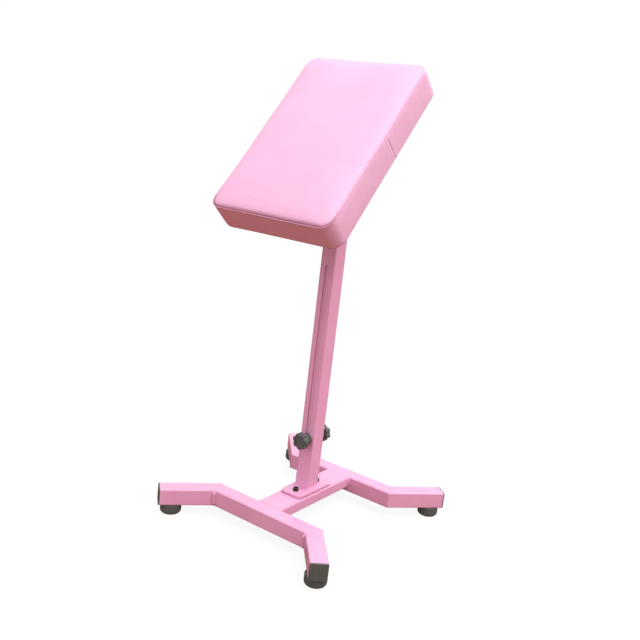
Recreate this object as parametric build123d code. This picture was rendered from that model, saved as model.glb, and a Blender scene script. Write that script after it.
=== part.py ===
from build123d import *
import math
import os

# Tattoo armrest stand: an H-shaped tube base, a slotted square mast that telescopes, and a
# cushion on a tilting bracket. Millimetres. The origin is on the floor under the mast's axis,
# +Z is up, -Y is the front (the cushion's low end) and +X is the stand's right.

# Shared fits and habits of the tube and thread work
cut_overrun = 5.0
seat_gap = 0.05
slide_gap = 0.2
thrust_gap = 0.05
thread_gap = 0.05
hole_gap = 0.3
corner_share = 1.75
socket_share = 0.6
edge_share = 0.3

# Base: two mitred bars, four splayed legs and a flat rail between the bars
tube_width = 30.0
tube_wall = 1.5
rail_width = 50.0
rail_height = 20.0
bar_spacing = 235.0
bend_spacing = 213.0
leg_length = 100.5
leg_splay_angle = 41.4

# End caps of the legs
cap_flange = 2.5
cap_depth = 10.0
cap_wall = 2.0
cap_edge = 1.2

# Rubber feet and what holds them
foot_diameter = 37.0
foot_height = 18.0
foot_edge = 6.5
foot_inset = 21.0
foot_recess_depth = 9.0

# M6 hardware, used at the feet, the mast plate and the cushion
small_thread = 6.0
small_head_diameter = 10.0
small_head_height = 6.0
small_socket = 5.0
small_nut_width = 10.0
small_nut_height = 5.0
small_washer_diameter = 16.0
small_washer_thickness = 1.5
thread_end = 2.0

# Plate under the mast
plate_length = 94.0
plate_width = 45.0
plate_thickness = 5.0
plate_corner = 8.0
plate_bolt_spacing = 62.0

# Outer mast with its two slots, and the sliding mast inside it
mast_width = 30.0
mast_wall = 1.5
slot_width = 9.0
clamp_low_height = 94.0
height_travel = 307.0
mast_above_slot = 92.0
guide_wall = 0.75
guide_depth = 30.0
guide_flange = 4.0
inner_wall = 1.5
inner_below_clamp = 35.0
glide_flange = 4.0
glide_depth = 12.0
glide_gap = 0.3

# M8 clamping knobs, one in each slot
clamp_thread = 8.0
clamp_nut_width = 13.0
clamp_nut_height = 6.5
clamp_washer_diameter = 22.0
clamp_washer_thickness = 1.6
stud_anchor_diameter = 12.0
stud_anchor_length = 10.0
knob_diameter = 30.0
knob_head = 12.0
knob_hub_diameter = 18.0
knob_hub = 9.0
knob_edge = 1.8
knob_dish = 1.0
knob_lobes = 7
knob_notch_share = 0.40
knob_notch_depth_share = 0.13
knob_dish_share = 0.55

# Tilt joint between the sliding mast and the cushion's bracket, on an M10 bolt
rest_tilt_angle = 48.4
pivot_above_mast = 49.0
tilt_thread = 10.0
tilt_bush_diameter = 14.0
friction_washer_diameter = 26.0
friction_washer_thickness = 1.0
top_plug_depth = 8.0
top_plug_flange = 3.0
ear_thickness = 4.0
ear_radius = 16.0
ear_base = 56.0
bolt_head_diameter = 22.0
bolt_head_height = 5.0
tilt_washer_diameter = 22.0
tilt_washer_thickness = 2.0
insert_diameter = 15.0
insert_length = 14.0
bracket_length = 110.0
bracket_width = 84.0
bracket_thickness = 4.0
bracket_corner = 10.0
bracket_hole_length = 84.0
bracket_hole_width = 58.0

# Cushion: board, foam and a sewn cover
pad_length = 335.0
pad_width = 232.0
pad_thickness = 58.0
pad_standoff = 55.5
pad_corner = 21.0
pad_crown = 6.3
pad_slope = 19.0
pad_bottom_edge = 3.0
pad_seam_drop = 7.3
cover_thickness = 1.5
cover_hem = 30.0
board_thickness = 12.0
soft_gap = 0.3
tee_flange_diameter = 18.0
tee_flange_thickness = 1.5
tee_barrel_diameter = 8.0
tee_barrel_length = 9.0

# Heights and depths that follow from the sizes above
base_top = foot_height + tube_width
plate_top = base_top + plate_thickness
clamp_height = plate_top + clamp_low_height
mast_top = clamp_height + height_travel + mast_above_slot
pivot_height = mast_top + guide_flange + pivot_above_mast
mast_inside = mast_width - 2 * mast_wall
inner_width = mast_inside - 2 * (seat_gap + guide_wall + slide_gap)
inner_inside = inner_width - 2 * inner_wall
inner_bottom = clamp_height - inner_below_clamp
inner_top = pivot_height + tilt_bush_diameter / 2 + hole_gap + top_plug_depth
ear_inner = inner_width / 2 + friction_washer_thickness + thrust_gap
ear_outer = ear_inner + ear_thickness


def rounded_bar(width, height, corner, length):
    """A bar of rounded rectangular section that stands on the XY plane."""
    return extrude(RectangleRounded(width, height, corner), length)


def tube(width, height, wall, length):
    """A rolled tube whose outside and inside corners share one centre."""
    hollow = (width - 2 * wall, height - 2 * wall, (corner_share - 1) * wall)
    section = RectangleRounded(width, height, corner_share * wall) - RectangleRounded(*hollow)
    return extrude(section, length)


def tube_between(start, end, width, height, wall, overrun):
    """A base tube along a level line, run past both ends so that they can be cut to shape."""
    run = (end - start).normalized()
    sideways = Vector(0, 0, 1).cross(run)
    place = Plane(origin=start - run * overrun, x_dir=sideways, z_dir=run)
    return place.location * tube(width, height, wall, (end - start).length + 2 * overrun)


def side_of(solid, point, direction):
    """The stretch of a solid that lies past a point in a direction."""
    return split(solid, bisect_by=Plane(origin=point, z_dir=direction), keep=Keep.TOP)


def drill(diameter, point, direction, depth):
    """A cylinder that starts at a point and runs along a direction, to be cut away."""
    place = Plane(origin=point, z_dir=direction)
    return place.location * extrude(Circle(diameter / 2), depth)


def ring(outside, inside, thickness):
    return extrude(Circle(outside / 2) - Circle(inside / 2), thickness)


def hex_nut(width, thread, height):
    """A nut that stands on the XY plane."""
    flats = RegularPolygon(width / 2, 6, major_radius=False)
    return extrude(flats - Circle(thread / 2 + thread_gap), height)


def socket_screw(thread, length, head_diameter, head_height, socket):
    """A cap screw with a hex socket: head above the XY plane, thread below it."""
    head = extrude(Circle(head_diameter / 2), head_height)
    head = fillet(head.edges().sort_by(Axis.Z)[-1], head_height * edge_share)
    depth = head_height * socket_share
    recess = Pos(0, 0, head_height - depth) * extrude(
        RegularPolygon(socket / 2, 6, major_radius=False), depth + cut_overrun)
    shank = Pos(0, 0, -length) * extrude(Circle(thread / 2), length)
    return head - recess + shank


def small_screw(length):
    return socket_screw(small_thread, length, small_head_diameter, small_head_height, small_socket)


nodes = {}

# The two bars, mitred at the bends, and the legs that carry on from them
splay = math.radians(leg_splay_angle)
corners = [(end, side, sy, sx) for end, sy in (("front", -1), ("rear", 1))
           for side, sx in (("left", -1), ("right", 1))]
axis_height = foot_height + tube_width / 2
small_hole = small_thread + 2 * hole_gap


def bend_point(sx, sy):
    return Vector(sx * bend_spacing / 2, sy * bar_spacing / 2, axis_height)


def leg_direction(sx, sy):
    return Vector(sx * math.sin(splay), sy * math.cos(splay), 0)


for end, sy in (("front", -1), ("rear", 1)):
    bar = tube_between(bend_point(-1, sy), bend_point(1, sy), tube_width, tube_width, tube_wall, tube_width)
    for sx in (-1, 1):
        mitre = leg_direction(sx, sy) + Vector(sx, 0, 0)
        bar = side_of(bar, bend_point(sx, sy), -mitre)
    nodes[end + "_cross_bar"] = bar

foot_screws, foot_washers, foot_nuts = [], [], []
for end, side, sy, sx in corners:
    name = end + "_" + side
    bend = bend_point(sx, sy)
    out = leg_direction(sx, sy)
    leg_end = bend + out * leg_length
    leg = tube_between(bend, leg_end, tube_width, tube_width, tube_wall, tube_width)
    leg = side_of(leg, bend, out + Vector(sx, 0, 0))
    leg = side_of(leg, leg_end, -out)
    under = leg_end - out * foot_inset - Vector(0, 0, axis_height)
    leg -= drill(small_hole, under + Vector(0, 0, foot_height - cut_overrun), (0, 0, 1),
                 cut_overrun + tube_wall + cut_overrun)
    nodes[name + "_leg"] = leg

    # A moulded cap: a flange as wide as the tube and a hollow spigot inside it
    across = Vector(0, 0, 1).cross(out)
    cap_plane = Plane(origin=leg_end, x_dir=across, z_dir=out)
    flange = rounded_bar(tube_width, tube_width, corner_share * tube_wall, cap_flange)
    flange = fillet(flange.edges().group_by(Axis.Z)[-1], cap_edge)
    spigot_width = tube_width - 2 * tube_wall - 2 * seat_gap
    spigot_corner = (corner_share - 1) * tube_wall
    spigot = rounded_bar(spigot_width, spigot_width, spigot_corner, cap_depth)
    spigot -= rounded_bar(spigot_width - 2 * cap_wall, spigot_width - 2 * cap_wall, spigot_corner, cap_depth)
    nodes[name + "_end_cap"] = cap_plane.location * (flange + Pos(0, 0, -cap_depth) * spigot)

    # A rubber foot with a recess that hides the screw's head from the floor
    foot = extrude(Circle(foot_diameter / 2), foot_height)
    foot = fillet(foot.edges().sort_by(Axis.Z)[0], foot_edge)
    foot -= extrude(Circle(small_washer_diameter / 2 + hole_gap), foot_recess_depth)
    foot -= extrude(Circle(small_hole / 2), foot_height)
    place = Pos(under)
    nodes[name + "_foot"] = place * foot

    washer_under = foot_recess_depth - small_washer_thickness
    nut_top = foot_height + tube_wall + small_nut_height
    screw = small_screw(nut_top + thread_end - washer_under)
    foot_screws.append(place * Pos(0, 0, washer_under) * Rot(180, 0, 0) * screw)
    foot_washers.append(place * Pos(0, 0, washer_under)
                        * ring(small_washer_diameter, small_hole, small_washer_thickness))
    foot_nuts.append(place * Pos(0, 0, foot_height + tube_wall)
                     * hex_nut(small_nut_width, small_thread, small_nut_height))
nodes["foot_screws"] = Compound(foot_screws)
nodes["foot_washers"] = Compound(foot_washers)
nodes["foot_weld_nuts"] = Compound(foot_nuts)

# The rail between the bars, flush with their tops, with two holes for the plate's screws
rail_end = Vector(0, (bar_spacing - tube_width) / 2, 0)
rail_axis = Vector(0, 0, base_top - rail_height / 2)
rail = tube_between(rail_axis - rail_end, rail_axis + rail_end, rail_width, rail_height, tube_wall, 0)
plate = Pos(0, 0, base_top) * rounded_bar(plate_width, plate_length, plate_corner, plate_thickness)
plate_screws, rail_nuts = [], []
for sy in (-1, 1):
    spot = Vector(0, sy * plate_bolt_spacing / 2, 0)
    hole = drill(small_hole, spot + Vector(0, 0, base_top - tube_wall - cut_overrun), (0, 0, 1),
                 tube_wall + plate_thickness + 2 * cut_overrun)
    rail -= hole
    plate -= hole
    screw = small_screw(plate_thickness + tube_wall + small_nut_height + thread_end)
    plate_screws.append(Pos(spot + Vector(0, 0, plate_top)) * screw)
    rail_nuts.append(Pos(spot + Vector(0, 0, base_top - tube_wall - small_nut_height))
                     * hex_nut(small_nut_width, small_thread, small_nut_height))
nodes["base_rail"] = rail
nodes["mast_plate"] = plate
nodes["mast_plate_screws"] = Compound(plate_screws)
nodes["rail_weld_nuts"] = Compound(rail_nuts)

# Outer mast: a slot in its front wall and one in its rear wall, on the same line
mast = Pos(0, 0, plate_top) * tube(mast_width, mast_width, mast_wall, mast_top - plate_top)
slot_middle = clamp_height + height_travel / 2
slot_plane = Plane(origin=(0, -mast_width, slot_middle), x_dir=(0, 0, 1), z_dir=(0, 1, 0))
slot = SlotCenterToCenter(height_travel, slot_width)
mast -= slot_plane.location * extrude(slot, 2 * mast_width)
nodes["outer_mast"] = mast

# A plastic guide in the mast's mouth carries the sliding mast
guide_hole = inner_width + 2 * slide_gap
inside_corner = (corner_share - 1) * mast_wall
guide = Pos(0, 0, -guide_depth) * rounded_bar(
    mast_inside - 2 * seat_gap, mast_inside - 2 * seat_gap, inside_corner, guide_depth)
guide += rounded_bar(mast_width, mast_width, corner_share * mast_wall, guide_flange)
guide = fillet(guide.edges().group_by(Axis.Z)[-1], guide_flange * edge_share)
guide -= Pos(0, 0, -guide_depth) * rounded_bar(
    guide_hole, guide_hole, inside_corner, guide_depth + guide_flange)
nodes["mast_top_guide"] = Pos(0, 0, mast_top) * guide

# Sliding mast with its clamp holes near the foot and the tilt bolt's hole near the top
inner = Pos(0, 0, inner_bottom) * tube(inner_width, inner_width, inner_wall, inner_top - inner_bottom)
inner -= drill(clamp_thread + 2 * hole_gap, (0, -inner_width, clamp_height), (0, 1, 0), 2 * inner_width)
inner -= drill(tilt_thread + 2 * hole_gap, (-inner_width, 0, pivot_height), (1, 0, 0), 2 * inner_width)
nodes["inner_mast"] = inner

plug_width = inner_inside - 2 * seat_gap
plug_corner = (corner_share - 1) * inner_wall
glide_width = mast_inside - 2 * glide_gap
glide = Pos(0, 0, -glide_flange) * rounded_bar(
    glide_width, glide_width, corner_share * inner_wall, glide_flange)
glide += rounded_bar(plug_width, plug_width, plug_corner, glide_depth)
nodes["inner_mast_glide"] = Pos(0, 0, inner_bottom) * glide

top_plug = rounded_bar(inner_width, inner_width, corner_share * inner_wall, top_plug_flange)
top_plug = fillet(top_plug.edges().group_by(Axis.Z)[-1], top_plug_flange * edge_share)
top_plug += Pos(0, 0, -top_plug_depth) * rounded_bar(plug_width, plug_width, plug_corner, top_plug_depth)
nodes["inner_mast_top_plug"] = Pos(0, 0, inner_top) * top_plug


def star_knob(socket_diameter, socket_depth):
    """A moulded star knob: hub on the XY plane, head above it, socket cut up from below."""
    radius = knob_diameter / 2
    notch = radius * knob_notch_share
    notch_centre = radius + notch - radius * knob_notch_depth_share
    outline = Circle(radius)
    for turn in range(knob_lobes):
        angle = 360 / knob_lobes * (turn + 0.5)
        outline -= Rot(0, 0, angle) * Pos(notch_centre, 0) * Circle(notch)
    head = extrude(outline, knob_head)
    head = fillet(head.edges().group_by(Axis.Z)[-1], knob_edge)
    head = fillet(head.edges().group_by(Axis.Z)[0], knob_edge / 2)
    dish = Pos(0, 0, knob_head - knob_dish) * extrude(Circle(radius * knob_dish_share), knob_dish)
    knob = Pos(0, 0, knob_hub) * (head - dish) + extrude(Circle(knob_hub_diameter / 2), knob_hub)
    return knob - extrude(Circle(socket_diameter / 2 + seat_gap), socket_depth)


# Front and rear clamps: weld nut inside the sliding mast, then washer, knob and its stud
clamp_nuts = []
clamp_seat = mast_width / 2 + thrust_gap
stud_tip = inner_inside / 2 - clamp_nut_height - thread_end / 2
anchor_top = knob_hub + stud_anchor_length / 2
for end, sy in (("front", -1), ("rear", 1)):
    outward = (0, sy, 0)
    nut_place = Plane(origin=(0, sy * (inner_inside / 2 - clamp_nut_height), clamp_height), z_dir=outward)
    clamp_nuts.append(nut_place.location * hex_nut(clamp_nut_width, clamp_thread, clamp_nut_height))
    washer_place = Plane(origin=(0, sy * clamp_seat, clamp_height), z_dir=outward)
    washer = ring(clamp_washer_diameter, clamp_thread + 2 * hole_gap, clamp_washer_thickness)
    nodes[end + "_clamp_washer"] = washer_place.location * washer

    knob_seat = clamp_seat + clamp_washer_thickness + thrust_gap
    knob_place = Plane(origin=(0, sy * knob_seat, clamp_height), z_dir=outward)
    knob = star_knob(clamp_thread, anchor_top)
    knob -= Pos(0, 0, anchor_top - stud_anchor_length) * extrude(
        Circle(stud_anchor_diameter / 2 + seat_gap), stud_anchor_length)
    nodes[end + "_clamp_knob"] = knob_place.location * knob
    stud = Pos(0, 0, stud_tip - knob_seat) * extrude(Circle(clamp_thread / 2), anchor_top + knob_seat - stud_tip)
    stud += Pos(0, 0, anchor_top - stud_anchor_length) * extrude(
        Circle(stud_anchor_diameter / 2), stud_anchor_length)
    nodes[end + "_clamp_stud"] = knob_place.location * stud
nodes["clamp_weld_nuts"] = Compound(clamp_nuts)

# Tilt joint: what the sliding mast carries
bush = ring(tilt_bush_diameter, tilt_thread + 2 * thread_gap, inner_inside - 2 * seat_gap)
bush_place = Plane(origin=(seat_gap - inner_inside / 2, 0, pivot_height), z_dir=(1, 0, 0))
nodes["tilt_bush"] = bush_place.location * bush
friction_washers = []
for sx in (-1, 1):
    face = Plane(origin=(sx * inner_width / 2, 0, pivot_height), z_dir=(sx, 0, 0))
    friction_washers.append(face.location * ring(
        friction_washer_diameter, tilt_thread + 2 * hole_gap, friction_washer_thickness))
nodes["tilt_friction_washers"] = Compound(friction_washers)

# Everything on the cushion's bracket is drawn about the pivot, then tilted into place
tilted = Pos(0, 0, pivot_height) * Rot(rest_tilt_angle, 0, 0)
bracket_under = pad_standoff - bracket_thickness
ear_outline = make_hull(
    (Circle(ear_radius) + Pos(0, bracket_under - ear_thickness / 2) * Rectangle(ear_base, ear_thickness)).edges())
ear_plane = Plane(origin=(0, 0, 0), x_dir=(0, 1, 0), z_dir=(1, 0, 0))
ear = ear_plane.location * extrude(ear_outline, ear_thickness)
square_hole = extrude(Rectangle(tilt_thread + 2 * seat_gap, tilt_thread + 2 * seat_gap), ear_thickness)
round_hole = extrude(Circle(tilt_thread / 2 + hole_gap), ear_thickness)
nodes["right_tilt_ear"] = tilted * Pos(ear_inner, 0, 0) * (ear - ear_plane.location * square_hole)
nodes["left_tilt_ear"] = tilted * Pos(-ear_outer, 0, 0) * (ear - ear_plane.location * round_hole)

# Carriage bolt: its square neck sits in the right ear, its thread takes the knob on the left
bolt_plane = Plane(origin=(ear_outer, 0, 0), z_dir=(1, 0, 0))
bolt_reach = ear_outer + tilt_washer_thickness + insert_length
bolt_head = extrude(Circle(bolt_head_diameter / 2), bolt_head_height)
bolt_head = fillet(bolt_head.edges().sort_by(Axis.Z)[-1], bolt_head_height * socket_share)
bolt = bolt_head + Pos(0, 0, -ear_thickness) * extrude(Rectangle(tilt_thread, tilt_thread), ear_thickness)
bolt += Pos(0, 0, -(ear_outer + bolt_reach)) * extrude(Circle(tilt_thread / 2), ear_outer + bolt_reach)
nodes["tilt_bolt"] = tilted * bolt_plane.location * bolt

washer_plane = Plane(origin=(-ear_outer - thrust_gap, 0, 0), z_dir=(-1, 0, 0))
nodes["tilt_clamp_washer"] = tilted * washer_plane.location * ring(
    tilt_washer_diameter, tilt_thread + 2 * hole_gap, tilt_washer_thickness)
knob_face = ear_outer + tilt_washer_thickness + 2 * thrust_gap
knob_plane = Plane(origin=(-knob_face, 0, 0), z_dir=(-1, 0, 0))
insert_socket = insert_length + thread_end
nodes["tilt_knob"] = tilted * knob_plane.location * star_knob(insert_diameter, insert_socket)
nodes["tilt_knob_insert"] = tilted * knob_plane.location * ring(
    insert_diameter, tilt_thread + 2 * thread_gap, insert_length)

# Bracket plate under the cushion, its four screws and the tee nuts in the board
bracket = Pos(0, 0, bracket_under) * rounded_bar(
    bracket_width, bracket_length, bracket_corner, bracket_thickness)
board_bottom = pad_standoff + cover_thickness
board_top = board_bottom + board_thickness
cavity_length = pad_length - 2 * cover_thickness
cavity_width = pad_width - 2 * cover_thickness
cavity_corner = pad_corner - cover_thickness
filling = (cavity_width - 2 * soft_gap, cavity_length - 2 * soft_gap, cavity_corner - soft_gap)
board = Pos(0, 0, board_bottom) * rounded_bar(*filling, board_thickness)
cloth = Pos(0, 0, pad_standoff) * extrude(
    Rectangle(pad_width - 2 * (cover_hem + soft_gap), pad_length - 2 * (cover_hem + soft_gap)),
    cover_thickness)
pad_screws, tee_nuts = [], []
screw_length = bracket_thickness + cover_thickness + board_thickness - tee_flange_thickness
for sx in (-1, 1):
    for sy in (-1, 1):
        spot = Pos(sx * bracket_hole_width / 2, sy * bracket_hole_length / 2, 0)
        hole = spot * Pos(0, 0, bracket_under) * extrude(Circle(small_hole / 2), screw_length)
        barrel = spot * Pos(0, 0, board_bottom) * extrude(
            Circle(tee_barrel_diameter / 2 + seat_gap), board_thickness)
        pocket = spot * Pos(0, 0, board_top - tee_flange_thickness) * extrude(
            Circle(tee_flange_diameter / 2 + seat_gap), tee_flange_thickness)
        bracket -= hole
        cloth -= hole
        board -= barrel + pocket
        pad_screws.append(tilted * spot * Pos(0, 0, bracket_under) * Rot(180, 0, 0) * small_screw(screw_length))
        tee = extrude(Circle(tee_flange_diameter / 2), tee_flange_thickness)
        tee += Pos(0, 0, -tee_barrel_length) * extrude(Circle(tee_barrel_diameter / 2), tee_barrel_length)
        tee -= Pos(0, 0, -tee_barrel_length) * extrude(
            Circle(small_thread / 2 + thread_gap), tee_barrel_length + tee_flange_thickness)
        tee_nuts.append(tilted * spot * Pos(0, 0, board_top - tee_flange_thickness) * tee)
nodes["pad_bracket_plate"] = tilted * bracket
nodes["pad_screws"] = Compound(pad_screws)
nodes["pad_tee_nuts"] = Compound(tee_nuts)
nodes["pad_board"] = tilted * board
nodes["pad_bottom_cloth"] = tilted * cloth


def cushion_block(width, length, corner, bottom, top, crown, slope):
    """A rounded block whose top slopes up from its rim, as a stuffed panel does."""
    block = Pos(0, 0, bottom) * rounded_bar(width, length, corner, top - bottom)
    top_face = block.faces().sort_by(Axis.Z)[-1]
    return chamfer(top_face.edges(), slope, crown, reference=top_face)


# Foam, then the sewn cover: a top panel and a side band that turns under as a hem
pad_top = pad_standoff + pad_thickness
cavity_top = pad_top - cover_thickness
cavity_slope = (pad_crown - cover_thickness * edge_share, pad_slope - cover_thickness)
nodes["pad_foam"] = tilted * cushion_block(*filling, board_top, cavity_top - soft_gap, *cavity_slope)

cover = cushion_block(pad_width, pad_length, pad_corner, pad_standoff, pad_top, pad_crown, pad_slope)
cover = fillet(cover.edges().group_by(Axis.Z)[0], pad_bottom_edge)
cover -= cushion_block(cavity_width, cavity_length, cavity_corner, board_bottom, cavity_top, *cavity_slope)
cover -= Pos(0, 0, pad_standoff) * extrude(
    Rectangle(pad_width - 2 * cover_hem, pad_length - 2 * cover_hem), cover_thickness)
seam = Vector(0, 0, pad_top - pad_seam_drop)
nodes["pad_top_panel"] = tilted * side_of(cover, seam, (0, 0, 1))
nodes["pad_side_band"] = tilted * side_of(cover, seam, (0, 0, -1))

os.makedirs("parts", exist_ok=True)
for name, shape in nodes.items():
    export_step(shape, "parts/" + name + ".step")
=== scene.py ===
import bpy
import math
from mathutils import Matrix, Vector, kdtree, noise


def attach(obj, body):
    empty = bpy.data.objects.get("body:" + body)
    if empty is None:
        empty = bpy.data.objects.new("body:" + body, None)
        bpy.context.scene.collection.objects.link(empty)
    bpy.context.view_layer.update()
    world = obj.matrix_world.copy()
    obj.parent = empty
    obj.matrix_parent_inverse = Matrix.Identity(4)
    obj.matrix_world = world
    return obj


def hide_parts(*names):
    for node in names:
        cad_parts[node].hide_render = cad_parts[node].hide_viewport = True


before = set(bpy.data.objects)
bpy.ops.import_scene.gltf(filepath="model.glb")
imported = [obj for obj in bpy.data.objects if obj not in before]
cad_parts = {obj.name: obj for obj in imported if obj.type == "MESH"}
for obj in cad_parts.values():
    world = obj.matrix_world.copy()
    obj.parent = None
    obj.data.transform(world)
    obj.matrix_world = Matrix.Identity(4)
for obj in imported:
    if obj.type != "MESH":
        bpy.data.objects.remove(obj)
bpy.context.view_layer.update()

# The H-shaped base: two cross bars of 30 mm square steel tube, four splayed legs mitred on
# to their ends, and a flat 50 x 20 mm rail between them. The tubes are welded, the top
# welds dressed nearly flush, and the whole base is powder coated satin pink.
leg_names = ["front_left", "front_right", "rear_left", "rear_right"]
base_tubes = ["base_rail", "front_cross_bar", "rear_cross_bar"] + [name + "_leg" for name in leg_names]
base_top_height = 0.048


def start_group(name, inputs, outputs):
    """An effect for the materials, with its named inputs and outputs."""
    effect = bpy.data.node_groups.new(name, "ShaderNodeTree")
    for label, value in inputs.items():
        kind = {float: "NodeSocketFloat", tuple: "NodeSocketColor", str: "NodeSocketVector"}[type(value)]
        plug = effect.interface.new_socket(name=label, in_out="INPUT", socket_type=kind)
        if kind == "NodeSocketFloat":
            plug.default_value = value
        elif kind == "NodeSocketColor":
            plug.default_value = (*value, 1)
    for label, kind in outputs.items():
        effect.interface.new_socket(name=label, in_out="OUTPUT", socket_type=kind)
    return effect, effect.nodes.new("NodeGroupInput").outputs, effect.nodes.new("NodeGroupOutput").inputs


def place(tree, kind, joins=None, **settings):
    """One node in a tree: its settings, then what feeds or fills each of its inputs."""
    node = tree.nodes.new(kind)
    for key, value in settings.items():
        setattr(node, key, value)
    for label, source in (joins or {}).items():
        if isinstance(source, bpy.types.NodeSocket):
            tree.links.new(source, node.inputs[label])
        else:
            node.inputs[label].default_value = source
    return node


def spread(tree, source, low, high, to_low, to_high):
    """A value carried smoothly from one range to another."""
    node = place(tree, "ShaderNodeMapRange", {0: source, 1: low, 2: high, 3: to_low, 4: to_high})
    return node.outputs[0]


def blend_colours(tree, share, first, second):
    """Two colours mixed by a share."""
    share_input, first_input, second_input, mixed_output = 0, 6, 7, 2
    joins = {share_input: share}
    for plug, colour in ((first_input, first), (second_input, second)):
        joins[plug] = colour if isinstance(colour, bpy.types.NodeSocket) else (*colour, 1)
    return place(tree, "ShaderNodeMix", joins, data_type="RGBA").outputs[mixed_output]


def multiplied(tree, first, second):
    """Two values multiplied."""
    return place(tree, "ShaderNodeMath", {0: first, 1: second}, operation="MULTIPLY").outputs[0]


def cloudy(tree, where, scale, detail, roughness=0.5):
    """A soft random pattern, from its clouds to the metre and how broken they are."""
    joins = {"Vector": where, "Scale": scale, "Detail": detail, "Roughness": roughness}
    return place(tree, "ShaderNodeTexNoise", joins).outputs[0]


# Orange peel is the fine ripple that a sprayed and baked coat keeps
orange_peel, given, result = start_group(
    "orange peel", {"Place": "", "Ripples per metre": 600.0},
    {"Height": "NodeSocketFloat", "Patches": "NodeSocketFloat"})
ripple = cloudy(orange_peel, given["Place"], given["Ripples per metre"], 2.0, 0.45)
patches = cloudy(orange_peel, given["Place"], 14.0, 3.0)
orange_peel.links.new(ripple, result["Height"])
orange_peel.links.new(patches, result["Patches"])

# Dust settles on what faces up, more in some places than in others
settled_dust, given, result = start_group(
    "settled dust",
    {"Place": "", "Clean colour": (1.0, 1.0, 1.0), "Dust colour": (0.7, 0.66, 0.62), "Amount": 0.1},
    {"Colour": "NodeSocketColor"})
surface_normal = place(settled_dust, "ShaderNodeNewGeometry").outputs["Normal"]
facing = place(settled_dust, "ShaderNodeSeparateXYZ", {0: surface_normal}).outputs["Z"]
facing_up = spread(settled_dust, facing, 0.2, 0.95, 0.0, 1.0)
drifts = spread(settled_dust, cloudy(settled_dust, given["Place"], 55.0, 6.0, 0.7), 0.35, 0.75, 0.2, 1.0)
dust_share = multiplied(settled_dust, multiplied(settled_dust, facing_up, drifts), given["Amount"])
dusted = blend_colours(settled_dust, dust_share, given["Clean colour"], given["Dust colour"])
settled_dust.links.new(dusted, result["Colour"])


def start_finish(name):
    """A material with its shader, and the place on the piece that its patterns follow."""
    finish = bpy.data.materials.new(name)
    finish.use_nodes = True
    tree = finish.node_tree
    where = place(tree, "ShaderNodeTexCoord").outputs["Object"]
    return finish, tree, tree.nodes["Principled BSDF"], where


def use_effect(tree, effect, joins):
    """What an effect puts out, placed in a material with the material's own values."""
    return place(tree, "ShaderNodeGroup", joins, node_tree=effect).outputs


def raise_surface(tree, shader, height, distance, strength):
    """Small relief from a height, with its depth in metres."""
    bump = place(tree, "ShaderNodeBump", {"Height": height, "Distance": distance, "Strength": strength})
    tree.links.new(bump.outputs[0], shader.inputs["Normal"])


def finish_pieces(finish, names):
    """The finish given to solids that keep their shape."""
    for name in names:
        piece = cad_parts[name]
        piece.data.materials.clear()
        piece.data.materials.append(finish)


powder_coat, tree, shader, where = start_finish("satin pink powder coat")
peel = use_effect(tree, orange_peel, {"Place": where, "Ripples per metre": 700.0})
tint = blend_colours(tree, spread(tree, peel["Patches"], 0.3, 0.7, 0.0, 1.0),
                     (0.73, 0.335, 0.530), (0.78, 0.370, 0.580))
dusty = use_effect(tree, settled_dust, {"Place": where, "Clean colour": tint,
                                        "Dust colour": (0.9, 0.75, 0.78, 1), "Amount": 0.06})
tree.links.new(dusty["Colour"], shader.inputs["Base Color"])
tree.links.new(spread(tree, peel["Patches"], 0.3, 0.7, 0.32, 0.42), shader.inputs["Roughness"])
shader.inputs["Coat Weight"].default_value = 0.35
shader.inputs["Coat Roughness"].default_value = 0.10
raise_surface(tree, shader, peel["Height"], 0.00012, 0.6)
finish_pieces(powder_coat, base_tubes)


def add_piece(name, points, faces, body, finish, smooth=True):
    """A mesh of the scene's own that rides on one of the bodies."""
    mesh = bpy.data.meshes.new(name)
    mesh.from_pydata([tuple(p) for p in points], [], faces)
    mesh.materials.append(finish)
    if smooth:
        mesh.shade_smooth()
    piece = bpy.data.objects.new(name, mesh)
    bpy.context.collection.objects.link(piece)
    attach(piece, body)
    return piece


def weld_bead(points, faces, path, radius, closed=False):
    """One bead along a path, a little thicker at each ripple where the torch paused."""
    ripple_step, ring_points, lumps_per_metre = 0.0013, 7, 500
    ripple_share, lump_share, end_share, growth_per_ripple = 0.10, 0.12, 0.30, 0.25
    spots = []
    for start, end in zip(path, path[1:] + path[:1] if closed else path[1:]):
        count = max(1, round((end - start).length / ripple_step))
        spots += [start.lerp(end, i / count) for i in range(count)]
    if not closed:
        spots.append(path[-1])
    first, total = len(points), len(spots)
    for i, spot in enumerate(spots):
        before = spots[i - 1] if i or closed else spot
        after = spots[(i + 1) % total] if i < total - 1 or closed else spot
        along = (after - before).normalized()
        side = (side - along * side.dot(along) if i else along.orthogonal()).normalized()
        lump = noise.noise(spot * lumps_per_metre)
        thick = radius * (1.0 + ripple_share * math.cos(i * math.pi) + lump_share * lump)
        if not closed:
            thick *= min(1.0, end_share + growth_per_ripple * min(i, total - 1 - i))
        for k in range(ring_points):
            turn = 2 * math.pi * k / ring_points
            points.append(spot + (side * math.cos(turn) + along.cross(side) * math.sin(turn)) * thick)
    for i in range(total if closed else total - 1):
        a, b = first + i * ring_points, first + (i + 1) % total * ring_points
        for k in range(ring_points):
            beside = (k + 1) % ring_points
            faces.append((a + k, a + beside, b + beside, b + k))
    if not closed:
        faces.append(tuple(first + k for k in reversed(range(ring_points))))
        faces.append(tuple(first + (total - 1) * ring_points + k for k in range(ring_points)))


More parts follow.
